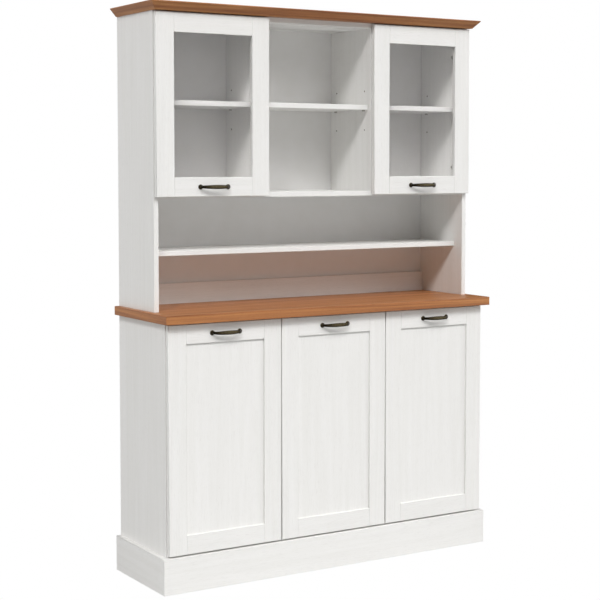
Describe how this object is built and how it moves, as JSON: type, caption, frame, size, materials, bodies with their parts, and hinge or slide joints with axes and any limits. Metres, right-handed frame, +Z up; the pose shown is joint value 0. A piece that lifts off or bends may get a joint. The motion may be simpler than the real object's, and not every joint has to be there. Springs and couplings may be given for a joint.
{
  "type": "kitchen buffet",
  "caption": "Kitchen buffet: a base cupboard with framed swing doors under a wood worktop, and a hutch with glazed doors, open bays and a bevelled cornice.",
  "frame": {"origin": "on the floor, in the middle of the footprint of the whole buffet", "axes": "+Z up, +X to the right seen from the front, +Y towards the wall behind; the doors face -Y"},
  "size_m": [1.248, 0.371, 1.8],
  "materials": {
    "white_boards": "white wood-grain foil",
    "white_backs": "plain white lacquer",
    "walnut_boards": "satin foil",
    "antique_bronze": "dark antique bronze",
    "clear_glass": "polished",
    "nickel_steel": "nickel plated",
    "beech_dowels": "raw beech"
  },
  "bodies": {
    "cabinet": {"base_bottom": "white_boards", "base_top_rail_front": "white_boards", "base_top_rail_rear": "white_boards", "base_back_panel": "white_backs", "plinth_front": "white_boards", "worktop": "walnut_boards", "hutch_top": "white_boards", "hutch_floor": "white_boards", "hutch_back_panel": "white_backs", "hutch_back_rail": "white_boards", "spice_shelf": "white_boards", "cornice": "walnut_boards", "base_side_right": "white_boards", "base_side_left": "white_boards", "base_divider_right": "white_boards", "base_divider_left": "white_boards", "plinth_right": "white_boards", "plinth_left": "white_boards", "hutch_side_right": "white_boards", "hutch_side_left": "white_boards", "hutch_divider_right": "white_boards", "hutch_divider_left": "white_boards", "base_shelf_left": "white_boards", "base_shelf_middle": "white_boards", "base_shelf_right": "white_boards", "hutch_shelf_left": "white_boards", "hutch_shelf_middle": "white_boards", "hutch_shelf_right": "white_boards", "shelf_pins": "nickel_steel", "dowels": "beech_dowels", "hinge_arms": "nickel_steel", "hinge_plates": "nickel_steel", "hinge_plate_screws": "nickel_steel"},
    "base_door_left": {"base_door_left_stiles": "white_boards", "base_door_left_rails": "white_boards", "base_door_left_panel": "white_boards", "base_door_left_handle": "antique_bronze", "base_door_left_hinge_cups": "nickel_steel"},
    "base_door_middle": {"base_door_middle_stiles": "white_boards", "base_door_middle_rails": "white_boards", "base_door_middle_panel": "white_boards", "base_door_middle_handle": "antique_bronze", "base_door_middle_hinge_cups": "nickel_steel"},
    "base_door_right": {"base_door_right_stiles": "white_boards", "base_door_right_rails": "white_boards", "base_door_right_panel": "white_boards", "base_door_right_handle": "antique_bronze", "base_door_right_hinge_cups": "nickel_steel"},
    "hutch_door_left": {"hutch_door_left_stiles": "white_boards", "hutch_door_left_rails": "white_boards", "hutch_door_left_glass": "clear_glass", "hutch_door_left_handle": "antique_bronze", "hutch_door_left_hinge_cups": "nickel_steel", "hutch_door_left_glass_beads": "white_boards"},
    "hutch_door_right": {"hutch_door_right_stiles": "white_boards", "hutch_door_right_rails": "white_boards", "hutch_door_right_glass": "clear_glass", "hutch_door_right_handle": "antique_bronze", "hutch_door_right_hinge_cups": "nickel_steel", "hutch_door_right_glass_beads": "white_boards"}
  },
  "joints": [
    {"name": "base_door_left_swing", "type": "hinge", "parent": "cabinet", "child": "base_door_left", "pos_m": [-0.5907, -0.154, 0.4705], "axis": [0, 0, -1], "range_deg": [0, 90]},
    {"name": "base_door_middle_swing", "type": "hinge", "parent": "cabinet", "child": "base_door_middle", "pos_m": [0.1907, -0.154, 0.4705], "axis": [0, 0, 1], "range_deg": [0, 90]},
    {"name": "base_door_right_swing", "type": "hinge", "parent": "cabinet", "child": "base_door_right", "pos_m": [0.5907, -0.154, 0.4705], "axis": [0, 0, 1], "range_deg": [0, 90]},
    {"name": "hutch_door_left_swing", "type": "hinge", "parent": "cabinet", "child": "hutch_door_left", "pos_m": [-0.5907, -0.082, 1.4895], "axis": [0, 0, -1], "range_deg": [0, 90]},
    {"name": "hutch_door_right_swing", "type": "hinge", "parent": "cabinet", "child": "hutch_door_right", "pos_m": [0.5907, -0.082, 1.4895], "axis": [0, 0, 1], "range_deg": [0, 90]}
  ]
}
